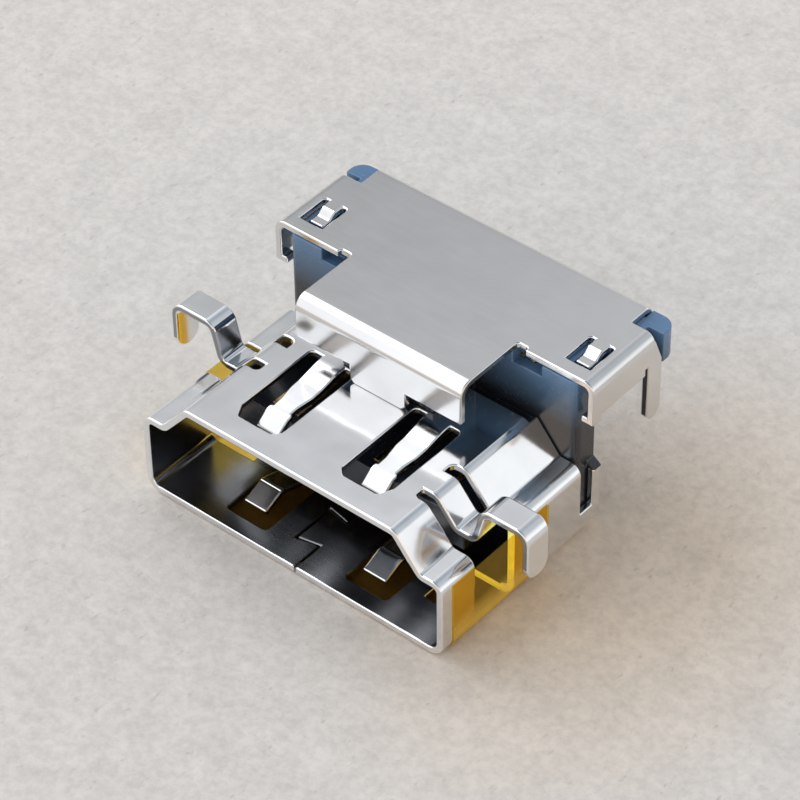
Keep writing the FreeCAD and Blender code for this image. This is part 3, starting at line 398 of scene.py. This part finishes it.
def amber_film(name, colour, haze):
    """Clear amber film: tinted light passes, a little is scattered, the skin is glossy; the
    underside's darker tint is painted shade and its left end has a painted glow.
    """
    material, tree, shader = start_material(name)
    clouds = noise(tree, 1.2 * MM, detail=2)
    base = blend_colours(tree, spread(tree, clouds, 0, 1), scaled(colour, 0.85), colour)
    tree.links.new(base, shader.inputs["Base Color"])
    rough = spread(tree, noise(tree, 0.3 * MM), 0.05, 0.15)
    tree.links.new(rough, shader.inputs["Roughness"])
    normal = bump(tree, noise(tree, 0.9 * MM, detail=2), 0.03 * MM)
    tree.links.new(normal, shader.inputs["Normal"])
    clear = tree.nodes.new("ShaderNodeBsdfTransparent")
    parts = tree.nodes.new("ShaderNodeSeparateXYZ")
    tree.links.new(object_place(tree), parts.inputs["Vector"])
    across, height = parts.outputs["X"], parts.outputs["Z"]
    # The underside's darker tint is painted shade.
    tint = blend_colours(tree, spread(tree, height, 0, 1, *FILM_FOLD), FILM_BELOW_PAINTED_SHADE, FILM_TINT)
    tree.links.new(tint, clear.inputs["Color"])
    low = spread(tree, height, FILM_LOW_HAZE * haze, haze, *FILM_THINNING)
    plain = multiply(tree, low, spread(tree, height, FILM_UNDER_HAZE, 1, *FILM_FOLD))
    lit = multiply(tree, spread(tree, across, FILM_LIT_HAZE, 0, *FILM_LIT_EDGE),
                   spread(tree, height, 1, 0, *FILM_FOLD))
    share = tree.nodes.new("ShaderNodeMath")
    share.operation = "MAXIMUM"
    tree.links.new(plain, share.inputs[0])
    tree.links.new(lit, share.inputs[1])
    # Painted glow at the underside's left end: the film glows in its own amber, though no lamp is
    # there.
    tree.links.new(base, shader.inputs["Emission Color"])
    tree.links.new(scaled_value(tree, lit, FILM_PAINTED_GLOW), shader.inputs["Emission Strength"])
    skin = tree.nodes.new("ShaderNodeMixShader")
    tree.links.new(share.outputs[0], skin.inputs["Fac"])
    tree.links.new(clear.outputs["BSDF"], skin.inputs[1])
    tree.links.new(shader.outputs["BSDF"], skin.inputs[2])
    tree.links.new(skin.outputs["Shader"], tree.nodes["Material Output"].inputs["Surface"])
    return material


def painted_edge_glow(name, colour):
    """Painted yellow glow on a cut edge under the tape, standing in for the light that runs along
    the film.
    """
    material, tree, shader = start_material(name)
    clouds = noise(tree, 0.3 * MM)
    base = blend_colours(tree, spread(tree, clouds, 0, 1), scaled(colour, 0.85), colour)
    tree.links.new(base, shader.inputs["Base Color"])
    # The emission is a painted glow standing in for light along the film.
    tree.links.new(base, shader.inputs["Emission Color"])
    shader.inputs["Emission Strength"].default_value = EDGE_GLOW_STRENGTH
    shader.inputs["Roughness"].default_value = 0.35
    return material


def floor_paper(name, colour, shade):
    """Pale board: clouds, a fine tooth, darker flecks and a painted warm shadow beside the socket.
    """
    material, tree, shader = start_material(name)
    clouds = spread(tree, noise(tree, 1.8 * MM, detail=6, rough=0.68), 0, 1)
    paper = blend_colours(tree, clouds, scaled(colour, 0.93), scaled(colour, 1.06))
    grain = noise(tree, 0.45 * MM, detail=4, rough=0.75)
    tooth = spread(tree, grain, 0, 1, 0.35, 0.6)
    light = mixed(tree, tooth, scaled_link(tree, paper, 0.9), paper)
    flecks = noise(tree, 0.3 * MM, detail=2, stretch=(1, 0.45, 1))
    spots = spread(tree, flecks, 0, 0.6, 0.66, 0.76)
    spotted = mixed(tree, spots, light, scaled_link(tree, light, 0.75))
    # Painted warm shadow on the floor along the socket's right side.
    near = tree.nodes.new("ShaderNodeTexGradient")
    near.gradient_type = "SPHERICAL"
    patch = tree.nodes.new("ShaderNodeMapping")
    patch.vector_type = "TEXTURE"
    patch.inputs["Location"].default_value = PAINTED_SHADOW_MIDDLE
    patch.inputs["Scale"].default_value = PAINTED_SHADOW_REACH
    tree.links.new(object_place(tree), patch.inputs["Vector"])
    tree.links.new(patch.outputs["Vector"], near.inputs["Vector"])
    painted_shadow = tree.nodes.new("ShaderNodeMix")
    painted_shadow.data_type = "RGBA"
    painted_shadow.blend_type = "MULTIPLY"
    tree.links.new(spread(tree, near.outputs["Fac"], 0, 1, 0, PAINTED_SHADOW_RAMP), painted_shadow.inputs["Factor"])
    tree.links.new(spotted, painted_shadow.inputs["A"])
    painted_shadow.inputs["B"].default_value = (*shade, 1)
    tree.links.new(painted_shadow.outputs["Result"], shader.inputs["Base Color"])
    shader.inputs["Roughness"].default_value = 0.9
    shader.inputs["Specular IOR Level"].default_value = 0.1
    normal = bump(tree, noise(tree, 0.3 * MM, detail=4), 0.03 * MM)
    tree.links.new(normal, shader.inputs["Normal"])
    return material


# Mesh helpers

def merged_copy(node):
    """A node's solid as one closed mesh in millimetres, its flat faces rejoined."""
    mesh = bmesh.new()
    mesh.from_mesh(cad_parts[node].data)
    bmesh.ops.scale(mesh, vec=Vector((1, 1, 1)) / MM, verts=mesh.verts)
    bmesh.ops.remove_doubles(mesh, verts=mesh.verts, dist=CLOSE)
    bmesh.ops.dissolve_degenerate(mesh, edges=mesh.edges, dist=CLOSE)
    bmesh.ops.dissolve_limit(mesh, angle_limit=FLATNESS, verts=mesh.verts, edges=mesh.edges)
    return mesh


def round_edges(mesh, radius, angle=35):
    """Rounds every edge that is sharper than the angle, in degrees."""
    sharp = [edge for edge in mesh.edges
             if edge.is_manifold and edge.calc_face_angle() > math.radians(angle)]
    bmesh.ops.bevel(mesh, geom=sharp, offset=radius, offset_type="OFFSET", segments=2,
                    profile=0.5, affect="EDGES", clamp_overlap=False, material=-1)


def split_faces(mesh, faces, spot, direction):
    """Cuts only these faces along a plane."""
    parts = dict.fromkeys(item for face in faces for item in (face, *face.verts, *face.edges))
    bmesh.ops.bisect_plane(mesh, geom=list(parts), dist=CUT_CLOSE, plane_co=spot,
                           plane_no=direction)


def split_at_edge_glow(mesh):
    """Cuts the sheet's faces where the painted glow on the side openings' rear edges ends."""
    for side, edge in zip((-1, 1), OPENING_REARS):
        rims = [face for face in mesh.faces
                if side * face.calc_center_median().x > EDGE_GLOW_INNER
                and abs(face.calc_center_median().y - edge) < EDGE_GLOW_FRONT]
        split_faces(mesh, rims, (0, 0, EDGE_GLOW_TOP), (0, 0, 1))
        near = [face for face in mesh.faces
                if max(side * corner.co.x for corner in face.verts) > EDGE_GLOW_INNER
                and max(corner.co.z for corner in face.verts) < EDGE_GLOW_TOP + LIP]
        split_faces(mesh, near, (0, edge + EDGE_GLOW_WIDTH, 0), (0, 1, 0))


def mark_shade_and_glow(mesh):
    """Gives the sheet's inner faces in the mouth the second material, darker as painted shade, and
    its cut edges under the tape the third, a painted yellow glow.
    """
    split_at_edge_glow(mesh)
    for face in mesh.faces:
        centre = face.calc_center_median()
        outward = face.normal.x * centre.x + face.normal.z * (centre.z - MOUTH_MIDDLE)
        finger = face.normal.z > TURNED and centre.z > FINGER_LEVEL
        in_mouth = abs(centre.x) < MOUTH_HALF and centre.z > 0 and centre.y > LIP
        inside = outward < 0 and in_mouth
        # Inner faces in the mouth get the nickel darkened as painted shade.
        face.material_index = int(inside and not finger)
        behind = centre.y - OPENING_REARS[centre.x > 0]
        # Cut edges behind the side openings get the painted yellow glow.
        on_rim = (face.normal.y < -TURNED or inside) and -EDGE_GLOW_FRONT < behind < EDGE_GLOW_WIDTH
        if on_rim and abs(centre.x) > EDGE_GLOW_INNER and centre.z < EDGE_GLOW_TOP:
            face.material_index = 2


def even_normals(data, limit=50):
    """Keeps flat faces flat in the shading: the largest face round a corner sets its normal."""
    around = [[] for vertex in data.vertices]
    for face in data.polygons:
        for vertex in face.vertices:
            around[vertex].append(face)
    cosine = math.cos(math.radians(limit))
    normals = []
    for face in data.polygons:
        for vertex in face.vertices:
            total = Vector()
            for other in around[vertex]:
                if other.normal.dot(face.normal) > cosine:
                    total += other.normal * (other.area / MM ** 2) ** 2
            normals.append(total.normalized())
    data.normals_split_custom_set(normals)


def place(mesh, name, materials, nodes):
    """Makes a finished piece of a mesh in millimetres and lets it stand for its nodes."""
    mesh.verts.sort(key=lambda vertex: ORDER.dot(vertex.co))
    mesh.faces.sort(key=lambda face: ORDER.dot(face.calc_center_median()))
    bmesh.ops.scale(mesh, vec=Vector((1, 1, 1)) * MM, verts=mesh.verts)
    data = bpy.data.meshes.new(name)
    mesh.to_mesh(data)
    mesh.free()
    if "custom_normal" in data.attributes:
        data.attributes.remove(data.attributes["custom_normal"])
    data.shade_smooth()
    even_normals(data)
    for material in materials:
        data.materials.append(material)
    piece = bpy.data.objects.new(name, data)
    bpy.context.scene.collection.objects.link(piece)
    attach(piece, "root")
    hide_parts(*nodes)


class SOCKET_OT_front_shell(bpy.types.Operator):
    """Dress the folded front shell in bright plating"""
    bl_idname = "socket.front_shell"
    bl_label = "Front shell"

    def execute(self, context):
        sheet = context.scene.socket_sheet
        mesh = merged_copy("front_shell")
        round_edges(mesh, sheet.edge / MM)
        plating = plated_sheet("Bright nickel", sheet.shell_colour, sheet.shell_roughness, 0.04,
                               0.014 * MM)
        # Darker nickel inside the mouth is painted shade.
        shaded = plated_sheet("Nickel in painted shade", sheet.inside_shade_colour, sheet.inside_roughness, 0.1)
        # The glowing yellow on the openings' cut edges is painted light.
        edge_glow = painted_edge_glow("Painted edge glow", sheet.edge_glow_colour)
        mark_shade_and_glow(mesh)
        place(mesh, "shell_plated", [plating, shaded, edge_glow], ["front_shell"])
        return {"FINISHED"}


class SOCKET_OT_rear_cover(bpy.types.Operator):
    """Dress the folded rear cover in satin plating"""
    bl_idname = "socket.rear_cover"
    bl_label = "Rear cover"

    def execute(self, context):
        sheet = context.scene.socket_sheet
        mesh = merged_copy("rear_cover")
        round_edges(mesh, sheet.edge / MM)
        plating = plated_sheet("Satin nickel", sheet.cover_colour, sheet.cover_roughness, 0.025)
        place(mesh, "cover_plated", [plating], ["rear_cover"])
        return {"FINISHED"}


class SOCKET_OT_housing(bpy.types.Operator):
    """Dress the moulded housing in glossy plastic"""
    bl_idname = "socket.housing"
    bl_label = "Housing"

    def execute(self, context):
        moulding = context.scene.socket_moulding
        mesh = merged_copy("housing")
        round_edges(mesh, moulding.edge / MM)
        plastic = moulded_plastic("Blue-black plastic", moulding.colour, moulding.top_sheen_colour,
                                  moulding.roughness)
        place(mesh, "housing_moulding", [plastic], ["housing"])
        return {"FINISHED"}


class SOCKET_OT_contacts(bpy.types.Operator):
    """Dress the contact strips in thin gold"""
    bl_idname = "socket.contacts"
    bl_label = "Contacts"

    def execute(self, context):
        contact = context.scene.socket_contact
        gold = gold_plating("Thin gold", contact.colour)
        for node in CONTACTS:
            mesh = merged_copy(node)
            round_edges(mesh, contact.edge / MM)
            place(mesh, node.replace("contact", "strip"), [gold], [node])
        return {"FINISHED"}


class SOCKET_OT_film(bpy.types.Operator):
    """Dress the tape as amber film"""
    bl_idname = "socket.film"
    bl_label = "Amber film"

    def execute(self, context):
        film = context.scene.socket_film
        mesh = merged_copy("tape")
        low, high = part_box("tape")
        middle = (low.z + high.z) / 2 / MM
        inner = []
        for face in mesh.faces:
            centre = face.calc_center_median()
            facing_in = face.normal.dot(Vector((centre.x, 0, centre.z - middle))) < 0
            if facing_in or abs(face.normal.y) > SQUARE_ON or face.normal.z > SQUARE_ON:
                inner.append(face)
        bmesh.ops.delete(mesh, geom=inner, context="FACES")
        bmesh.ops.solidify(mesh, geom=mesh.faces, thickness=film.thickness / MM)
        amber = amber_film("Amber film", film.colour, film.haze)
        place(mesh, "amber_wrap", [amber], ["tape"])
        return {"FINISHED"}


# Stage

def softbox(name, direction, distance, size, power):
    """A square lamp that faces the socket from a direction."""
    data = bpy.data.lights.new(name, "AREA")
    data.shape = "SQUARE"
    data.size = size
    data.energy = power
    lamp = bpy.data.objects.new(name, data)
    away = Vector(direction).normalized()
    lamp.location = away * distance
    lamp.rotation_mode = "QUATERNION"
    lamp.rotation_quaternion = away.to_track_quat("Z", "Y")
    bpy.context.scene.collection.objects.link(lamp)


def surround(strength):
    """Room with a broad window on the left, a dim ceiling, warm walls and a pale rear corner."""
    world = bpy.context.scene.world or bpy.data.worlds.new("Surround")
    bpy.context.scene.world = world
    world.use_nodes = True
    tree = world.node_tree
    background = tree.nodes["Background"]
    background.inputs["Strength"].default_value = strength
    coordinates = tree.nodes.new("ShaderNodeTexCoord")
    parts = tree.nodes.new("ShaderNodeSeparateXYZ")
    tree.links.new(coordinates.outputs["Generated"], parts.inputs["Vector"])
    across, along, height = (parts.outputs[axis] for axis in "XYZ")
    walls = blend_colours(tree, spread(tree, height, 0, 1, *WALL_BAND), WALLS, CEILING)
    corner = blend_colours(tree, spread(tree, height, 0, 1, *CORNER_BAND), REAR_LOW, REAR_HIGH)
    behind = multiply(tree, spread(tree, along, 0, 1, *REAR_START),
                      spread(tree, height, 1, 0, *REAR_TOP))
    room = mixed(tree, behind, walls, corner)
    level = multiply(tree, spread(tree, along, *WINDOW_LEVELS, *WINDOW_DIMMING),
                     spread(tree, across, *WINDOW_GROWTH, *WINDOW_RISE))
    window = tree.nodes.new("ShaderNodeVectorMath")
    window.operation = "SCALE"
    window.inputs[0].default_value = WINDOW
    tree.links.new(level, window.inputs["Scale"])
    side = spread(tree, across, 1, 0, *WINDOW_SIDE)
    upright = multiply(tree, spread(tree, height, 0, 1, *WINDOW_SILL),
                       spread(tree, height, 1, 0, *WINDOW_HEAD))
    room = mixed(tree, multiply(tree, side, upright), room, window.outputs["Vector"])
    tree.links.new(room, background.inputs["Color"])


def place_camera(stage):
    turn, rise = stage.azimuth, stage.elevation
    back = Vector((math.sin(turn) * math.cos(rise), -math.cos(turn) * math.cos(rise),
                   math.sin(rise)))
    level = Vector((math.cos(turn), math.sin(turn), 0))
    upright = back.cross(level)
    right = math.cos(stage.roll) * level + math.sin(stage.roll) * upright
    up = math.cos(stage.roll) * upright - math.sin(stage.roll) * level
    data = bpy.data.cameras.new("Camera")
    data.lens = stage.lens
    data.sensor_width = SENSOR_WIDTH
    data.clip_start = stage.distance / 100
    data.clip_end = 100 * stage.distance
    camera = bpy.data.objects.new("Camera", data)
    spot = Vector(stage.aim) + back * stage.distance
    spot += right * stage.slide[0] + up * stage.slide[1]
    turned = Matrix((right, up, back)).transposed().to_4x4()
    camera.matrix_world = Matrix.Translation(spot) @ turned
    bpy.context.scene.collection.objects.link(camera)
    bpy.context.scene.camera = camera


class SOCKET_OT_stage(bpy.types.Operator):
    """Lay the floor and set the lamps, the surround and the camera"""
    bl_idname = "socket.stage"
    bl_label = "Stage"

    def execute(self, context):
        stage = context.scene.socket_stage
        mesh = bmesh.new()
        bmesh.ops.create_grid(mesh, x_segments=1, y_segments=1, size=FLOOR_HALF)
        bmesh.ops.translate(mesh, vec=(0, 0, CAD_BOX[0].z), verts=mesh.verts)
        data = bpy.data.meshes.new("floor")
        mesh.to_mesh(data)
        mesh.free()
        data.materials.append(floor_paper("Pale floor", stage.floor_colour, stage.floor_shade))
        floor = bpy.data.objects.new("floor", data)
        context.scene.collection.objects.link(floor)
        surround(stage.world_strength)
        softbox("Window lamp", LAMP_DIRECTION, LAMP_DISTANCE, LAMP_SIZE, LAMP_POWER)
        place_camera(stage)
        context.scene.view_settings.view_transform = "Standard"
        return {"FINISHED"}


PIECE_OPERATORS = (SOCKET_OT_front_shell, SOCKET_OT_rear_cover, SOCKET_OT_housing,
                   SOCKET_OT_contacts, SOCKET_OT_film)


class SOCKET_PT_looks(bpy.types.Panel):
    """Lists the socket's pieces and its stage"""
    bl_label = "Video socket"
    bl_idname = "SOCKET_PT_looks"
    bl_space_type = "VIEW_3D"
    bl_region_type = "UI"
    bl_category = "Socket"

    def draw(self, context):
        for operator in (*PIECE_OPERATORS, SOCKET_OT_stage):
            self.layout.operator(operator.bl_idname)


SETTINGS = {
    "socket_sheet": SheetSettings,
    "socket_moulding": MouldingSettings,
    "socket_contact": ContactSettings,
    "socket_film": FilmSettings,
    "socket_stage": StageSettings,
}
CLASSES = (*SETTINGS.values(), *PIECE_OPERATORS, SOCKET_OT_stage, SOCKET_PT_looks)


def register():
    for item in CLASSES:
        bpy.utils.register_class(item)
    for name, group in SETTINGS.items():
        setattr(bpy.types.Scene, name, bpy.props.PointerProperty(type=group))


def unregister():
    for name in SETTINGS:
        delattr(bpy.types.Scene, name)
    for item in reversed(CLASSES):
        bpy.utils.unregister_class(item)


def main():
    register()
    bpy.ops.socket.front_shell()
    bpy.ops.socket.rear_cover()
    bpy.ops.socket.housing()
    bpy.ops.socket.contacts()
    bpy.ops.socket.film()
    bpy.ops.socket.stage()


if __name__ == "__main__":
    main()
